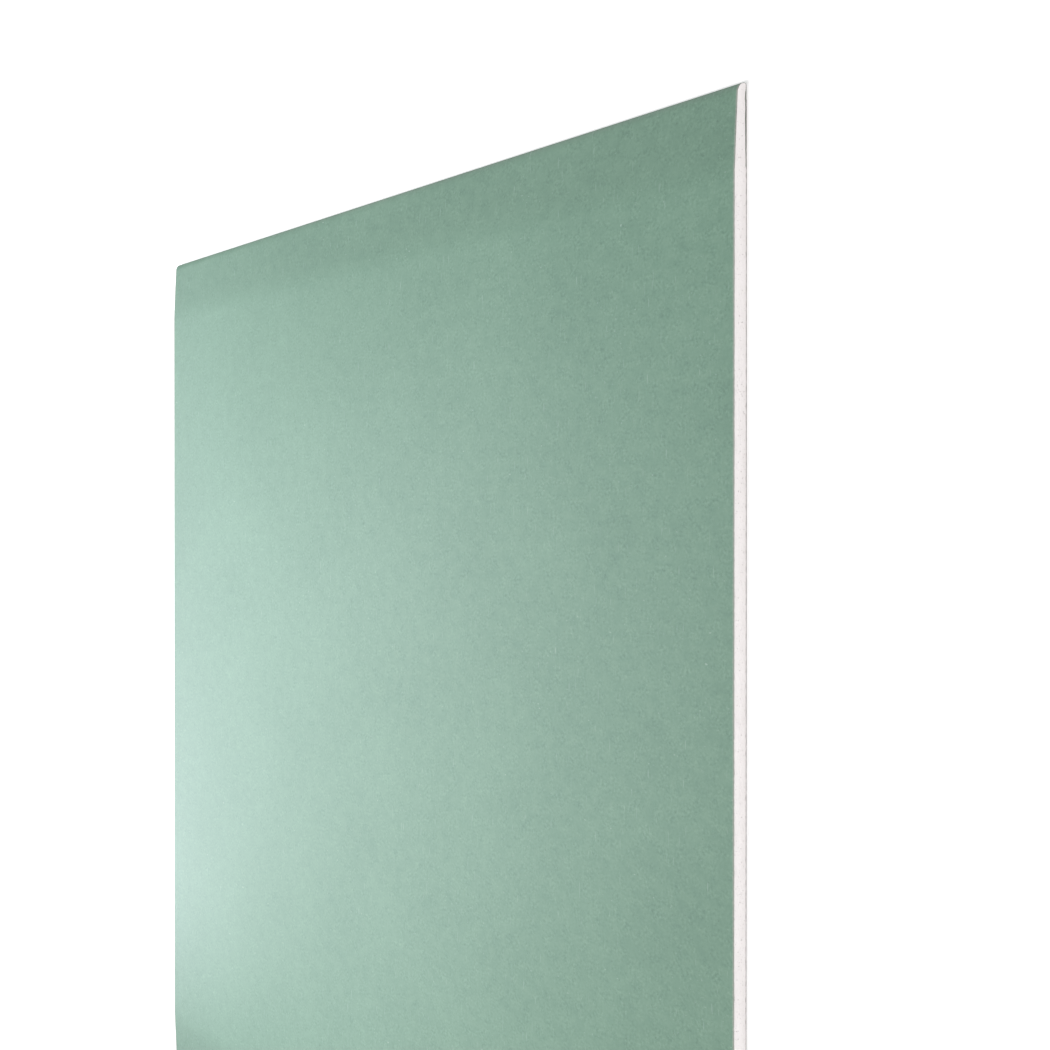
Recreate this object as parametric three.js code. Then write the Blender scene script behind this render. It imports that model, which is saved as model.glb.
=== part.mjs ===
import * as THREE from 'three';

// A sheet of moisture-resistant plasterboard, lying with its green face up.
// Millimetres: X runs along the sheet, Y across it and Z up through it.
// The origin is under the middle of the sheet, in the plane that it lies on.

// Overall size
const sheetLength = 2000;
const sheetWidth = 1250;
const sheetThickness = 12.5;

// Paper liners
const facePaperThickness = 0.4;
const backPaperThickness = 0.4;
const flapWidth = 75; // face paper folded onto the back, from the long edge inwards
const backPaperSetback = 15; // from the long edge to the edge of the back paper

// Long edges: a shallow taper for the joint filler, then a half-round nose
const taperWidth = 86; // from the long edge to where the face starts to fall
const taperDepth = 3;
const creaseEase = 10; // how gently the face leaves the flat
const lipEase = 34; // how gently it runs onto the nose
const noseWidth = 9.5;
const noseLean = 3.6 * Math.PI / 180; // how far into its quarter turn the nose takes over
const backCornerRadius = 2;
const edgeBand = 0.9; // flat and upright, between the nose and the back corner

// Straight pieces in each curved stretch of the section
const taperSteps = 16;
const noseSteps = 16;
const cornerSteps = 8;

const corePaint = { color: '#f1ebe6', roughness: 0.95, metalness: 0 };
const facePaperPaint = { color: '#7c9b8c', roughness: 0.6, metalness: 0 };
const backPaperPaint = { color: '#a9a6a1', roughness: 0.85, metalness: 0 };

// One long edge of the face paper's outside, from the crease round to the end of the flap.
function edgeLine() {
  const edge = sheetWidth / 2;
  const crease = edge - taperWidth;
  const flapFace = backPaperThickness;
  const noseFoot = flapFace + backCornerRadius + edgeBand;
  const noseHeight = sheetThickness - taperDepth - noseFoot;
  const nose = new THREE.EllipseCurve(
    edge - noseWidth, noseFoot,
    noseWidth, noseHeight, Math.PI / 2 - noseLean, 0, true,
  );
  const lip = nose.getPoint(0);
  const taper = new THREE.CubicBezierCurve(
    new THREE.Vector2(crease, sheetThickness),
    new THREE.Vector2(crease + creaseEase, sheetThickness),
    nose.getTangent(0).multiplyScalar(-lipEase).add(lip),
    lip,
  );
  const corner = new THREE.EllipseCurve(
    edge - backCornerRadius, flapFace + backCornerRadius,
    backCornerRadius, backCornerRadius, 0, -Math.PI / 2, true,
  );
  return [
    ...taper.getPoints(taperSteps),
    ...nose.getPoints(noseSteps).slice(1),
    ...corner.getPoints(cornerSteps),
    new THREE.Vector2(edge - flapWidth, flapFace),
  ];
}

// The other long edge is the same one seen in a mirror, run through the other way.
function mirrored(line) {
  return line.map((point) => new THREE.Vector2(-point.x, point.y)).reverse();
}

// The outside of the face paper, from flap to flap over the face.
function faceLine() {
  const edge = edgeLine();
  return [...mirrored(edge), ...edge];
}

// The normal on the right of the straight piece between two points.
function rightNormal(start, end) {
  const along = end.clone().sub(start).normalize();
  return new THREE.Vector2(along.y, -along.x);
}

// A line shifted to its right by a distance, with mitred corners.
function shifted(line, distance) {
  const normals = line.slice(1).map((point, i) => rightNormal(line[i], point));
  return line.map((point, i) => {
    const before = normals[Math.max(i - 1, 0)];
    const after = normals[Math.min(i, normals.length - 1)];
    const mitre = before.clone().add(after).divideScalar(1 + before.dot(after));
    return point.clone().addScaledVector(mitre, distance);
  });
}

// The face paper: its outside out, its inside back.
function facePaperSection(outside, inside) {
  return new THREE.Shape([...outside, ...inside.slice().reverse()]);
}

// The core fills the face paper, and steps down past the ends of the flaps to the back paper.
function coreSection(inside) {
  const flapEnd = sheetWidth / 2 - flapWidth;
  return new THREE.Shape([
    ...inside,
    new THREE.Vector2(flapEnd, backPaperThickness),
    new THREE.Vector2(-flapEnd, backPaperThickness),
  ]);
}

// The back paper lies flat over the core and both flaps.
function backPaperSection() {
  const halfWidth = sheetWidth / 2 - backPaperSetback;
  return new THREE.Shape([
    new THREE.Vector2(-halfWidth, 0),
    new THREE.Vector2(halfWidth, 0),
    new THREE.Vector2(halfWidth, backPaperThickness),
    new THREE.Vector2(-halfWidth, backPaperThickness),
  ]);
}

// A section run along the whole sheet, cut square at both ends.
function runOut(name, section, paint) {
  const geometry = new THREE.ExtrudeGeometry(section, { depth: sheetLength, bevelEnabled: false });
  const mesh = new THREE.Mesh(geometry, new THREE.MeshStandardMaterial(paint));
  mesh.name = name;
  mesh.position.z = -sheetLength / 2;
  return mesh;
}

const outside = faceLine();
const inside = shifted(outside, facePaperThickness);

// Sections are drawn upright and run out along their third axis, which this group turns onto X.
const sheet = new THREE.Group();
sheet.rotation.set(Math.PI / 2, Math.PI / 2, 0);
sheet.add(runOut('gypsum_core', coreSection(inside), corePaint));
sheet.add(runOut('face_paper', facePaperSection(outside, inside), facePaperPaint));
sheet.add(runOut('back_paper', backPaperSection(), backPaperPaint));

const group = new THREE.Group();
group.add(sheet);

export default group;
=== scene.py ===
import math

import bmesh
import bpy
import numpy as np
from mathutils import Matrix, Vector, geometry, noise


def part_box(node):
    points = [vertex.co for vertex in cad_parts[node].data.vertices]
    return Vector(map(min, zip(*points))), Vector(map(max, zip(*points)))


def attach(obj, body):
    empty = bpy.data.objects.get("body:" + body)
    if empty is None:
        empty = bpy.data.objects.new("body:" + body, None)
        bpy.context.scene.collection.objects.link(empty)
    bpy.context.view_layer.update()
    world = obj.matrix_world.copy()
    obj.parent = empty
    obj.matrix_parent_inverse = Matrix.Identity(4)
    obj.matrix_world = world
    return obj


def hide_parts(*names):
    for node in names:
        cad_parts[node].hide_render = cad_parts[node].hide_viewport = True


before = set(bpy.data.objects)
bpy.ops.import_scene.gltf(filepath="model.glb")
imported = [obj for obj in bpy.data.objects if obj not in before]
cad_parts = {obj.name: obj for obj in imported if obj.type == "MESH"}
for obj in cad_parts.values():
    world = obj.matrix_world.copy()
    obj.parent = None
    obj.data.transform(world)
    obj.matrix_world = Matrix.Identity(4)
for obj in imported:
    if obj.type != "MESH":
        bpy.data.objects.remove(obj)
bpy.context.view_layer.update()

print("frame loaded")

# sizes of the sheet, all from the frame, in metres
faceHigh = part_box("face_paper")[1]
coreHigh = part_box("gypsum_core")[1]
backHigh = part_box("back_paper")[1]
sheet = dict(
    halfLength=faceHigh[0],
    halfWidth=faceHigh[1],
    thickness=faceHigh[2],
    facePaper=faceHigh[2] - coreHigh[2],
    backPaper=backHigh[2],
    backHalfWidth=backHigh[1],
)

# tapered half-round long edges, the same as the frame's section
longEdge = dict(
    taperWidth=0.086,
    taperDepth=0.003,
    creaseEase=0.010,               # how gently the face leaves the flat
    lipEase=0.034,                  # how gently it runs onto the nose
    noseWidth=0.0095,
    noseLean=math.radians(3.6),     # how far into its quarter turn the nose takes over
    edgeBand=0.0009,                # upright, between the nose and the back corner
    cornerRadius=0.002,
    flapWidth=0.075,                # face paper folded onto the back
)
noseFoot = sheet["backPaper"] + longEdge["cornerRadius"] + longEdge["edgeBand"]
noseHeight = sheet["thickness"] - longEdge["taperDepth"] - noseFoot


class Value:
    # a node's output that can stand in a sum

    def __init__(self, paint, socket):
        self.paint = paint
        self.socket = socket

    def __add__(self, other):
        return self.paint.sums("ADD", self, other)

    __radd__ = __add__

    def __sub__(self, other):
        return self.paint.sums("SUBTRACT", self, other)

    def __rsub__(self, other):
        return self.paint.sums("SUBTRACT", other, self)

    def __mul__(self, other):
        return self.paint.sums("MULTIPLY", self, other)

    __rmul__ = __mul__


class Paint:
    # the nodes of a material or world under construction

    def __init__(self, owner):
        owner.use_nodes = True
        self.owner = owner
        self.tree = owner.node_tree
        self.tree.nodes.clear()

    def node(self, kind, settings=None, inputs=None, output=0):
        made = self.tree.nodes.new("ShaderNode" + kind)
        for key, value in (settings or {}).items():
            setattr(made, key, value)
        for key, value in (inputs or {}).items():
            if isinstance(value, Value):
                self.tree.links.new(value.socket, made.inputs[key])
            else:
                made.inputs[key].default_value = value
        return Value(self, made.outputs[output]) if made.outputs else None

    def sums(self, operation, first, second):
        return self.node("Math", dict(operation=operation), {0: first, 1: second})

    def spread(self, value, low, high, toLow=0.0, toHigh=1.0):
        # a smooth step from one value to another
        settings = dict(interpolation_type="SMOOTHSTEP")
        inputs = {0: value, 1: low, 2: high, 3: toLow, 4: toHigh}
        return self.node("MapRange", settings, inputs)

    def across(self, axis):
        # distance from the middle of the sheet along one axis
        place = self.node("SeparateXYZ", None, {0: self.node("TexCoord", output="Object")}, axis)
        return self.node("Math", dict(operation="ABSOLUTE"), {0: place})

    def cloud(self, size, detail=2.0, rough=0.5, turn=0.0):
        # noise on the object's coordinates, with a grain size in metres for each axis
        coords = self.node("TexCoord", output="Object")
        inputs = {"Vector": coords, "Scale": tuple(1 / s for s in size), "Rotation": (0, 0, turn)}
        where = self.node("Mapping", None, inputs)
        inputs = {"Vector": where, "Scale": 1.0, "Detail": detail, "Roughness": rough}
        return self.node("TexNoise", None, inputs, "Fac")

    def ripples(self, **grain):
        # the same noise, running about nought
        return self.cloud(**grain) - 0.5

    def spots(self, start, full, least=0.0, most=1.0, detail=1.0, **grain):
        # noise of which nothing shows up to start, and all of it from full on
        return self.spread(self.cloud(detail=detail, **grain), start, full, least, most)

    def blend(self, factor, first, second):
        return self.node("Mix", dict(data_type="RGBA"), {0: factor, 6: first, 7: second}, 2)

    def finish(self, colour, roughness, height, depth=0.001, **plain):
        bump = self.node("Bump", None, {"Strength": 1.0, "Distance": depth, "Height": height})
        inputs = {"Base Color": colour, "Roughness": roughness, "Normal": bump, **plain}
        shader = self.node("BsdfPrincipled", None, inputs)
        self.node("OutputMaterial", None, {"Surface": shader})
        return self.owner


def grey(level):
    return (level, level, level, 1)


# in every look, a grain's size runs along, across and up through the sheet, in metres
greenLook = dict(
    paler=(0.243, 0.418, 0.301, 1),
    darker=(0.119, 0.248, 0.173, 1),
    speck=(0.52, 0.66, 0.60, 1),
    fleck=(0.07, 0.14, 0.10, 1),
    dusty=(0.62, 0.55, 0.53, 1),
    roughness=0.531,
    fibre=dict(size=(0.0052, 0.0030, 0.0030), detail=3.0, rough=0.64),
    uneven=dict(size=(0.026, 0.013, 0.013), start=0.30, full=0.70, least=0.35, most=1.65, turn=0.6),
    formation=dict(size=(0.030, 0.015, 0.015), detail=5.0, rough=0.75),
    mottle=dict(size=(0.26, 0.13, 0.13), detail=1.0),
    patches=dict(size=(0.16, 0.08, 0.08), start=0.44, full=0.62, turn=0.8),
    flecks=dict(size=(0.0050, 0.0024, 0.0024), start=0.68, full=0.80, turn=0.1),
    fibres=dict(size=(0.010, 0.0012, 0.0012), start=0.77, full=0.82, turn=0.9),
    specks=dict(size=(0.0080, 0.0036, 0.0036), start=0.88, full=0.94, detail=0.0, turn=0.3),
    scratches=dict(size=(0.0016, 0.018, 0.018), start=0.80, full=0.85, detail=0.0),
    darkFlecks=dict(size=(0.0048, 0.0024, 0.0024), start=0.30, full=0.20, turn=1.3),
    frayed=dict(size=(0.0036, 0.0022, 0.0022)),
    tone=dict(fibre=1.2, formation=0.88, mottle=0.28),
    shown=dict(flecks=0.30, fibres=0.30, specks=0.42, scratches=0.32, darkFlecks=0.38, worn=0.5),
    rougher=dict(fibre=0.10, formation=0.06, worn=0.2),
    relief=dict(fibre=0.05, formation=0.06),
    # painted shade: where the tapered bands are darkened, and by how much
    taper=dict(start=0.090, full=0.055, shade=0.070),       # inwards from the long edge
    worn=dict(start=0.0048, full=-0.0004, wander=0.004),    # inwards from the cut end
)


def greenPaper():
    look = greenLook
    shown, rougher = look["shown"], look["rougher"]
    p = Paint(bpy.data.materials.new("greenPaper"))
    # the fibres stand out more in some patches than in others
    fibre = p.ripples(**look["fibre"]) * p.spots(**look["uneven"])
    formation = p.ripples(**look["formation"])
    mottle = p.ripples(**look["mottle"])
    tone = 0.5 + fibre * look["tone"]["fibre"] + formation * look["tone"]["formation"]
    tone = tone + mottle * look["tone"]["mottle"]
    colour = p.blend(tone, look["darker"], look["paler"])
    # painted shade: the tapered bands are darkened in the colour, standing in for the shade that
    # falls on them as they tilt away
    edge, taper = sheet["halfWidth"], look["taper"]
    paintedShadeBand = p.spread(p.across("Y"), edge - taper["start"], edge - taper["full"])
    colour = p.blend(paintedShadeBand * taper["shade"], colour, grey(0))
    # pale flecks in patches, loose fibres, specks and short scratches, then dark flecks
    marks = p.spots(**look["flecks"]) * p.spots(**look["patches"]) * shown["flecks"]
    marks = marks + p.spots(**look["fibres"]) * shown["fibres"]
    marks = marks + p.spots(**look["specks"]) * shown["specks"]
    marks = marks + p.spots(**look["scratches"]) * shown["scratches"]
    colour = p.blend(marks, colour, look["speck"])
    colour = p.blend(p.spots(**look["darkFlecks"]) * shown["darkFlecks"], colour, look["fleck"])
    # white dust and scuffed fibres beside the cut ends
    end, border = sheet["halfLength"], look["worn"]
    place = p.across("X") + p.ripples(**look["frayed"]) * border["wander"]
    worn = p.spread(place, end - border["start"], end - border["full"])
    colour = p.blend(worn * shown["worn"], colour, look["dusty"])
    roughness = look["roughness"] + fibre * rougher["fibre"] + formation * rougher["formation"]
    roughness = roughness + worn * rougher["worn"]
    height = fibre * look["relief"]["fibre"] + formation * look["relief"]["formation"]
    return p.finish(colour, roughness, height, IOR=1.5)


pliesLook = dict(
    under=(0.33, 0.318, 0.31, 1),
    underPale=(0.50, 0.48, 0.47, 1),
    over=(0.15, 0.16, 0.145, 1),
    overPale=(0.26, 0.27, 0.25, 1),
    dust=(0.74, 0.70, 0.68, 1),
    roughness=0.9,
    grain=dict(size=(0.0004, 0.0008, 0.00015)),
    dusting=dict(size=(0.004, 0.0045, 0.002), start=0.48, full=0.66, detail=3.0),
    dustShown=0.5,
    backTop=0.0012,         # heights between which the back's finish gives way to the face's
    faceBottom=0.0040,
    reliefDepth=0.0001,
)


def cutPlies():
    # the sawn ends of the papers, grey on the back, darker on the face, both whitened by dust
    look = pliesLook
    p = Paint(bpy.data.materials.new("cutPlies"))
    grain = p.cloud(**look["grain"])
    face = p.spread(p.across("Z"), look["backTop"], look["faceBottom"])
    under = p.blend(grain, look["under"], look["underPale"])
    over = p.blend(grain, look["over"], look["overPale"])
    dust = p.spots(**look["dusting"]) * look["dustShown"]
    colour = p.blend(dust, p.blend(face, under, over), look["dust"])
    return p.finish(colour, look["roughness"], grain - 0.5, look["reliefDepth"])


greyLook = dict(
    paler=(0.50, 0.485, 0.455, 1),
    darker=(0.30, 0.288, 0.268, 1),
    fleck=(0.16, 0.15, 0.145, 1),
    fibre=(0.66, 0.64, 0.60, 1),
    roughness=0.85,
    grain=dict(size=(0.0040, 0.0014, 0.0014), detail=3.0, rough=0.65),
    formation=dict(size=(0.036, 0.014, 0.014), detail=5.0, rough=0.75),
    mottle=dict(size=(0.30, 0.12, 0.12), detail=1.0),
    flecks=dict(size=(0.0024, 0.0016, 0.0016), start=0.72, full=0.78, turn=0.7),
    fibres=dict(size=(0.008, 0.0011, 0.0011), start=0.72, full=0.78, turn=0.2),
    tone=dict(grain=0.8, formation=0.9, mottle=0.4),
    shown=dict(flecks=0.6, fibres=0.5),
    relief=dict(grain=0.10, formation=0.12),
)


def greyPaper():
    look = greyLook
    p = Paint(bpy.data.materials.new("greyPaper"))
    grain = p.ripples(**look["grain"])
    formation = p.ripples(**look["formation"])
    mottle = p.ripples(**look["mottle"])
    tone = 0.5 + grain * look["tone"]["grain"] + formation * look["tone"]["formation"]
    tone = tone + mottle * look["tone"]["mottle"]
    colour = p.blend(tone, look["darker"], look["paler"])
    colour = p.blend(p.spots(**look["flecks"]) * look["shown"]["flecks"], colour, look["fleck"])
    colour = p.blend(p.spots(**look["fibres"]) * look["shown"]["fibres"], colour, look["fibre"])
    height = grain * look["relief"]["grain"] + formation * look["relief"]["formation"]
    return p.finish(colour, look["roughness"], height)


gypsumLook = dict(
    paler=(0.925, 0.885, 0.880, 1),
    darker=(0.850, 0.808, 0.798, 1),
    # painted shade in the pits
    paintedPitShade=(0.50, 0.46, 0.44, 1),
    roughness=0.95,
    grain=dict(size=(0.0007, 0.0007, 0.0007), detail=3.0, rough=0.7),
    veins=dict(size=(0.03, 0.022, 0.005)),
    pits=dict(size=(0.0011, 0.0011, 0.0011), start=0.25, full=0.19, detail=0.0, turn=0.9),
    tone=dict(middle=0.6, grain=0.9, veins=1.2),
    pitShadeShown=0.6,
    relief=dict(grain=0.25, pits=0.3),
)


def gypsum():
    look = gypsumLook
    p = Paint(bpy.data.materials.new("gypsum"))
    grain = p.ripples(**look["grain"])
    veins = p.ripples(**look["veins"])
    tone = look["tone"]["middle"] + grain * look["tone"]["grain"] + veins * look["tone"]["veins"]
    colour = p.blend(tone, look["darker"], look["paler"])
    pits = p.spots(**look["pits"])
    # painted shade: the pits are darkened in the colour, as well as dented by the bump
    colour = p.blend(pits * look["pitShadeShown"], colour, look["paintedPitShade"])
    height = grain * look["relief"]["grain"] - pits * look["relief"]["pits"]
    return p.finish(colour, look["roughness"], height)


paints = dict(green=greenPaper(), plies=cutPlies(), grey=greyPaper(), gypsum=gypsum())
print("materials made")


# rows across both papers: close together beside the cut ends, and wide apart in the middle
paperRows = dict(firstGap=0.0004, growth=2.0, reach=0.1, middleGap=0.1)


def stations():
    # the rows' places along the sheet
    half, reach = sheet["halfLength"], paperRows["reach"]
    steps = [0.0]
    gap = paperRows["firstGap"]
    while steps[-1] + gap < reach:
        steps.append(steps[-1] + gap)
        gap *= paperRows["growth"]
    steps.append(reach)
    middle = 2 * (half - reach)
    count = round(middle / paperRows["middleGap"])
    along = [-half + s for s in steps]
    along += [-half + reach + middle * i / count for i in range(1, count)]
    return along + [half - s for s in reversed(steps)]


facePaperPiece = dict(
    step=0.0015,
    noseSteps=22,
    cornerSteps=6,
    join=0.0001,                # of the two halves in the middle
    ragged=dict(depth=0.00018, fineGrain=0.004, coarseGrain=0.020),
)


def tapered(lip):
    # the taper's line in the section, from the lip of the nose to the crease
    crease = Vector((lip.x, sheet["halfWidth"] - longEdge["taperWidth"], sheet["thickness"]))
    lean = longEdge["noseLean"]
    along = Vector((0, -longEdge["noseWidth"] * math.cos(lean), noseHeight * math.sin(lean)))
    lipHandle = lip + along.normalized() * longEdge["lipEase"]
    creaseHandle = crease + Vector((0, longEdge["creaseEase"], 0))
    count = 1 + math.ceil((lip - crease).length / facePaperPiece["step"])
    return geometry.interpolate_bezier(lip, lipHandle, creaseHandle, crease, count)


def straight(bm, vert, y, z, step=math.inf):
    # a straight run of edges no longer than about one step, drawn out of a vertex
    goal = Vector((vert.co.x, y, z))
    count = max(1, round((goal - vert.co).length / step))
    hop = (goal - vert.co) / count
    for i in range(count):
        vert = bmesh.ops.extrude_vert_indiv(bm, verts=[vert])["verts"][0]
        bmesh.ops.translate(bm, verts=[vert], vec=hop)
    return vert


def rounded(bm, vert, y, z, steps, angle=math.pi / 2):
    # a turn of edges, drawn out of a vertex
    centre = (vert.co.x, y, z)
    bent = bmesh.ops.spin(bm, geom=[vert], cent=centre, axis=(1, 0, 0), angle=angle, steps=steps)
    return [g for g in bent["geom_last"] if isinstance(g, bmesh.types.BMVert)][0]


def facePaperLine(bm, x):
    # the outside of the face paper across the sheet, from flap to flap
    step = facePaperPiece["step"]
    edge = sheet["halfWidth"]
    radius = longEdge["cornerRadius"]
    noseWidth = longEdge["noseWidth"]
    under = sheet["backPaper"]
    tip = bmesh.ops.create_vert(bm, co=(x, edge - longEdge["flapWidth"], under))["vert"][0]
    tip = straight(bm, tip, edge - radius, under, step)
    tip = rounded(bm, tip, edge - radius, under + radius, facePaperPiece["cornerSteps"])
    tip = straight(bm, tip, edge, noseFoot, step / 2)
    quarter = math.pi / 2 - longEdge["noseLean"]
    tip = rounded(bm, tip, edge - noseWidth, noseFoot, facePaperPiece["noseSteps"], quarter)
    # the nose's circle is pressed into an ellipse
    for vert in bm.verts:
        if vert.co.z > noseFoot:
            vert.co.z = noseFoot + (vert.co.z - noseFoot) * noseHeight / noseWidth
    for point in tapered(tip.co.copy())[1:]:
        tip = straight(bm, tip, point.y, point.z)
    straight(bm, tip, 0.0, sheet["thickness"], step)
    half = bm.verts[:] + bm.edges[:]
    bmesh.ops.mirror(bm, geom=half, axis="Y", merge_dist=facePaperPiece["join"])


def runOut(bm, along):
    # carries the bmesh's edges along the sheet, row by row
    edges = bm.edges[:]
    for here, there in zip(along, along[1:]):
        made = bmesh.ops.extrude_edge_only(bm, edges=edges)["geom"]
        verts = [g for g in made if isinstance(g, bmesh.types.BMVert)]
        row = set(verts)
        edges = [g for g in made if isinstance(g, bmesh.types.BMEdge) and row.issuperset(g.verts)]
        bmesh.ops.translate(bm, verts=verts, vec=(there - here, 0, 0))


# how a blade or saw leaves the ends of both papers
paperEnds = dict(
    facing=0.7,         # a face lies on the cut when its normal runs this much along the sheet
    tolerance=1e-6,
    apart=7,            # a step through the noise from one end to the other
)


def unevenness(place, fineGrain, coarseGrain, fineShare=0.6):
    # from 0 to 1, fine grain on top of coarse
    fine = noise.noise(place / fineGrain) * fineShare
    return 0.5 + 0.5 * (fine + noise.noise(place / coarseGrain) * (1 - fineShare))


def thicken(bm, thickness, up):
    # turns a bare surface up or down, and gives it a thickness behind its faces
    bmesh.ops.recalc_face_normals(bm, faces=bm.faces[:])
    top = max(bm.faces, key=lambda f: f.calc_center_median().z)
    if (top.normal.z > 0) != up:
        bmesh.ops.reverse_faces(bm, faces=bm.faces[:])
    bmesh.ops.solidify(bm, geom=bm.faces[:], thickness=thickness)
    bm.normal_update()


def sawEnds(bm, depth, **grain):
    # gives the cut ends their own paint, and draws them in a little, unevenly
    for face in bm.faces:
        if abs(face.normal.x) > paperEnds["facing"]:
            face.smooth = False
            face.material_index = 1
    for vert in bm.verts:
        if abs(vert.co.x) > sheet["halfLength"] - paperEnds["tolerance"]:
            side = math.copysign(1, vert.co.x)
            place = Vector((side * paperEnds["apart"], vert.co.y, vert.co.z))
            vert.co.x -= side * depth * unevenness(place, **grain)


def pieceFrom(name, bm, materials, node):
    mesh = bpy.data.meshes.new(name)
    bm.to_mesh(mesh)
    bm.free()
    piece = bpy.data.objects.new(name, mesh)
    bpy.context.scene.collection.objects.link(piece)
    for material in materials:
        mesh.materials.append(material)
    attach(piece, "root")
    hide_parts(node)
    print(name, len(mesh.polygons), "faces")


def makeFacePaper():
    bm = bmesh.new()
    along = stations()
    facePaperLine(bm, along[0])
    runOut(bm, along)
    thicken(bm, sheet["facePaper"], up=True)
    for face in bm.faces:
        face.smooth = True
    sawEnds(bm, **facePaperPiece["ragged"])
    materials = [paints["green"], paints["plies"]]
    pieceFrom("greenFacePaper", bm, materials, "face_paper")


makeFacePaper()


backPaperPiece = dict(
    step=0.002,
    ragged=dict(depth=0.00018, fineGrain=0.005, coarseGrain=0.025),
)


def makeBackPaper():
    bm = bmesh.new()
    half = sheet["backHalfWidth"]
    along = stations()
    tip = bmesh.ops.create_vert(bm, co=(along[0], -half, 0))["vert"][0]
    straight(bm, tip, half, 0, backPaperPiece["step"])
    runOut(bm, along)
    thicken(bm, sheet["backPaper"], up=False)
    sawEnds(bm, **backPaperPiece["ragged"])
    materials = [paints["grey"], paints["plies"]]
    pieceFrom("greyBackPaper", bm, materials, "back_paper")


makeBackPaper()


corePiece = dict(
    columns=2000,
    rows=18,
    flatShare=0.98,             # of the columns, between the two noses
    noseSteps=40,
    recess=0.0001,
    apart=3,                # a step through the noise from one end to the other
    # dents all over the sawn end
    dentDepth=0.0003,
    dents=dict(fineGrain=0.0016, coarseGrain=0.012),
    # deeper ones along its borders
    crumble=dict(depth=0.0007, border=0.0008, grain=0.005, more=0.25),
    # where the core has broken away over the lapped papers: it starts and ends inwards from
    # the long edge, and some of its depth is left all along the middle of the sheet
    groove=dict(
        depth=0.0017,
        height=0.0005,
        lip=0.0004,
        grain=0.009,
        start=(0.003, 0.012),
        end=(0.040, 0.085),
        left=0.08,
    ),
)


def coreTop():
    # the inside of the face paper over one long edge, from the crease to the foot of the nose
    edge, inset = sheet["halfWidth"], sheet["facePaper"]
    width = longEdge["noseWidth"]
    quarter = math.pi / 2 - longEdge["noseLean"]
    nose = []
    for i in range(corePiece["noseSteps"] + 1):
        turn = quarter * i / corePiece["noseSteps"]
        y = edge - width + width * math.cos(turn)
        nose.append(Vector((0, y, noseFoot + noseHeight * math.sin(turn))))
    line = list(reversed(nose + tapered(nose[-1])[1:]))
    inner = []
    for before, point, after in zip(line[:1] + line, line, line[1:] + line[-1:]):
        along = (after - before).normalized()
        inner.append(point + inset * Vector((0, along.z, -along.y)))
    return [p.y for p in inner], [p.z for p in inner]


def coreHeights(y, top):
    # lowest and highest point of the core's section at a place across the sheet
    inset = sheet["facePaper"]
    under = sheet["backPaper"]
    edge = sheet["halfWidth"]
    across = abs(y)
    high = float(np.interp(across, *top))
    low = under
    if across > edge - longEdge["flapWidth"]:
        low += inset
    radius = longEdge["cornerRadius"]
    if across > edge - radius:
        r = radius - inset
        low = under + radius - r * math.sqrt(max(0, 1 - ((across - edge + radius) / r) ** 2))
    return low, high


def fade(value, low, high):
    t = min(1, max(0, (value - low) / (high - low)))
    return t * t * (3 - 2 * t)


def coreDent(side, y, z, low, high):
    # how far a point of the sawn end lies behind the plane of the cut
    crumble, groove = corePiece["crumble"], corePiece["groove"]
    place = Vector((side * corePiece["apart"], y, z))
    depth = corePiece["recess"] + corePiece["dentDepth"] * unevenness(place, **corePiece["dents"])
    rim = 1 - fade(min(z - low, high - z), 0, crumble["border"])
    depth += crumble["depth"] * rim * max(0, noise.noise(place / crumble["grain"]) + crumble["more"])
    inward = sheet["halfWidth"] - abs(y)
    lapped = fade(inward, *groove["start"])
    lapped *= 1 - (1 - groove["left"]) * fade(inward, *groove["end"])
    ripple = 0.75 + 0.5 * noise.noise(place / groove["grain"])
    above = z - low - groove["height"] * lapped * ripple
    return depth + groove["depth"] * lapped * (1 - fade(above, 0, groove["lip"]))


def coreAcross(column):
    # where a column of the sawn end lies, with -1 and 1 at the tips of the two noses
    share = corePiece["flatShare"]
    nose = longEdge["noseWidth"] - sheet["facePaper"]
    flat = sheet["halfWidth"] - longEdge["noseWidth"]
    if abs(column) <= share:
        return flat * column / share
    turn = (abs(column) - share) / (1 - share) * math.pi / 2
    return math.copysign(flat + nose * math.sin(turn), column)


def makeCore():
    bm = bmesh.new()
    top = coreTop()
    columns, rows = corePiece["columns"], corePiece["rows"]
    for side in (-1, 1):
        grid = bmesh.ops.create_grid(bm, x_segments=columns, y_segments=rows, size=1.0)
        for vert in grid["verts"]:
            y = coreAcross(vert.co.x)
            low, high = coreHeights(y, top)
            # rows lie closer together towards the papers
            z = low + (high - low) * (0.5 + 0.5 * math.sin(vert.co.y * math.pi / 2))
            vert.co = (side * (sheet["halfLength"] - coreDent(side, y, z, low, high)), y, z)
    bmesh.ops.bridge_loops(bm, edges=[e for e in bm.edges if e.is_boundary])
    bmesh.ops.recalc_face_normals(bm, faces=bm.faces[:])
    pieceFrom("gypsumCore", bm, [paints["gypsum"]], "gypsum_core")


makeCore()


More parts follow.
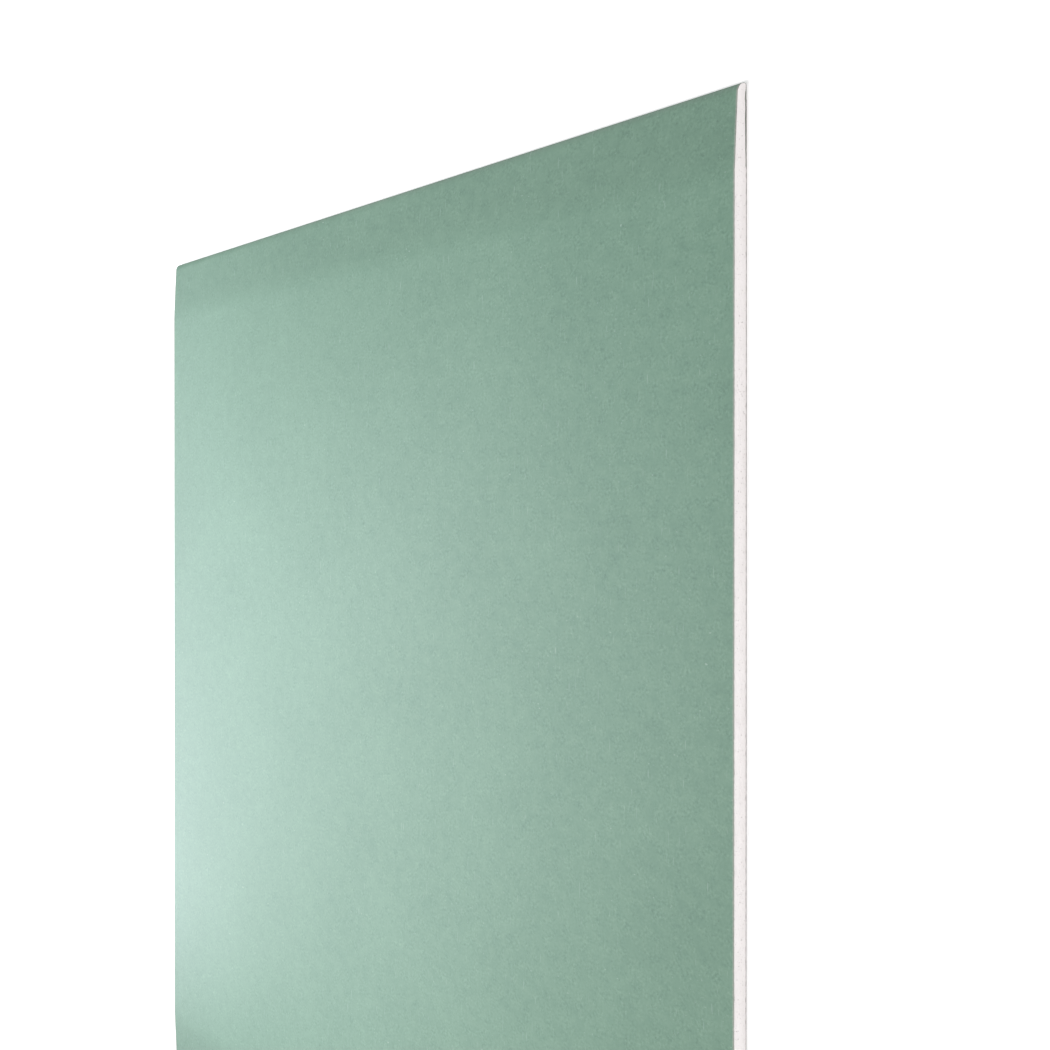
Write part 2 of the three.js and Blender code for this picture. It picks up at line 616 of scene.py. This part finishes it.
# each lamp shines from its place at its aim: a softbox or strip has a size, a spot a radius
sheen = (0.883, 0.903, 1.0)     # colour of the light that shows as a gloss on the face
lamps = dict(
    overheadSoftbox=dict(
        place=(-0.071, -0.84, 2.5),
        aim=(0, 0, 0),
        size=(0.593, 0.593),
        power=42.8,
    ),
    backStrip=dict(
        place=(-3.344, -0.09, 0.74),
        aim=(-0.4, 0.927, -0.994),
        size=(1.751, 0.861),
        power=6.432,
        beam=51.6,
        colour=sheen,
        glossOnly=True,
    ),
    backSpot=dict(
        place=(-1.769, 0.056, 1.514),
        aim=(-0.368, 0.678, 0),
        radius=0.337,
        power=51.03,
        beam=51.0,
        fade=0.53,
        colour=sheen,
    ),
    lowSpot=dict(
        place=(-1.696, -1.257, 1.488),
        aim=(-0.381, 0.398, 0),
        radius=0.284,
        power=82.34,
        beam=54.4,
        fade=0.3,
        colour=sheen,
    ),
    endSoftbox=dict(place=(4.5, 0.1, 0.45), aim=(1, 0, 0), size=(2.0, 0.8), power=73),
    sideSoftbox=dict(
        place=(-0.964, 1.734, 0.469),
        aim=(-0.193, 0.6, 0),
        size=(2.38, 0.472),
        power=4.46,
    ),
)
studio = dict(
    ambient=0.3,
    floorSize=60.0,
    floorDrop=0.0001,
    floorColour=0.82,
    # what the floor shows the camera over its own light, so that it looks white
    glowNear=0.50,
    glowFar=0.80,
    glowReach=(1.2, 2.6),       # from the middle of the sheet
)


def makeLamp(
    name, place, aim, power,
    size=None, radius=None, beam=None, fade=None, colour=(1, 1, 1), glossOnly=False,
):
    lamp = bpy.data.lights.new(name, "AREA" if size else "SPOT")
    if size:
        lamp.shape = "RECTANGLE"
        lamp.size, lamp.size_y = size
        if beam:
            lamp.spread = math.radians(beam)
    else:
        lamp.shadow_soft_size = radius
        lamp.spot_size = math.radians(beam)
        lamp.spot_blend = fade
    lamp.energy = power
    lamp.color = colour
    light = bpy.data.objects.new(name, lamp)
    light.location = place
    light.rotation_euler = (Vector(aim) - Vector(place)).to_track_quat("-Z", "Y").to_euler()
    light.visible_camera = False
    light.visible_diffuse = not glossOnly
    bpy.context.scene.collection.objects.link(light)


def makeFloor():
    bm = bmesh.new()
    bmesh.ops.create_grid(bm, x_segments=1, y_segments=1, size=studio["floorSize"] / 2)
    mesh = bpy.data.meshes.new("floor")
    bm.to_mesh(mesh)
    bm.free()
    floor = bpy.data.objects.new("floor", mesh)
    floor.location.z = -studio["floorDrop"]
    bpy.context.scene.collection.objects.link(floor)
    p = Paint(bpy.data.materials.new("paleFloor"))
    lit = p.node("BsdfDiffuse", None, {"Color": grey(studio["floorColour"])})
    coords = p.node("TexCoord", output="Object")
    far = p.node("VectorMath", dict(operation="LENGTH"), {0: coords}, "Value")
    away = p.spread(far, *studio["glowReach"])
    shade = p.blend(away, grey(studio["glowNear"]), grey(studio["glowFar"]))
    glow = p.node("Emission", None, {"Color": shade, "Strength": 1.0})
    both = p.node("AddShader", None, {0: lit, 1: glow})
    camera = p.node("LightPath", output="Is Camera Ray")
    shown = p.node("MixShader", None, {0: camera, 1: lit, 2: both})
    p.node("OutputMaterial", None, {"Surface": shown})
    mesh.materials.append(p.owner)


def makeWorld():
    world = bpy.data.worlds.new("studio")
    bpy.context.scene.world = world
    p = Paint(world)
    ambient = p.node("Background", None, {"Color": grey(1), "Strength": studio["ambient"]})
    white = p.node("Background", None, {"Color": grey(1), "Strength": 1.0})
    camera = p.node("LightPath", output="Is Camera Ray")
    shown = p.node("MixShader", None, {0: camera, 1: ambient, 2: white})
    p.node("OutputWorld", None, {"Surface": shown})


makeFloor()
makeWorld()
for lampName, settings in lamps.items():
    makeLamp(lampName, **settings)


cameraView = dict(
    place=(3.209, 0.248, 1.085),
    aim=(0.4926, 0.2281, 0.012),
    lens=94.4,
    sensor=36.0,
    clip=(0.1, 200.0),
)


def makeCamera():
    data = bpy.data.cameras.new("camera")
    data.lens = cameraView["lens"]
    data.sensor_width = cameraView["sensor"]
    data.clip_start, data.clip_end = cameraView["clip"]
    camera = bpy.data.objects.new("camera", data)
    place = Vector(cameraView["place"])
    ahead = (Vector(cameraView["aim"]) - place).normalized()
    right = ahead.cross(Vector((0, 1, 0))).normalized()   # the sheet's width runs up the picture
    up = right.cross(ahead)
    turn = Matrix((right, up, -ahead)).transposed()
    camera.matrix_world = Matrix.Translation(place) @ turn.to_4x4()
    bpy.context.scene.collection.objects.link(camera)
    bpy.context.scene.camera = camera


makeCamera()
bpy.context.scene.view_settings.view_transform = "Standard"
print("studio and camera set")
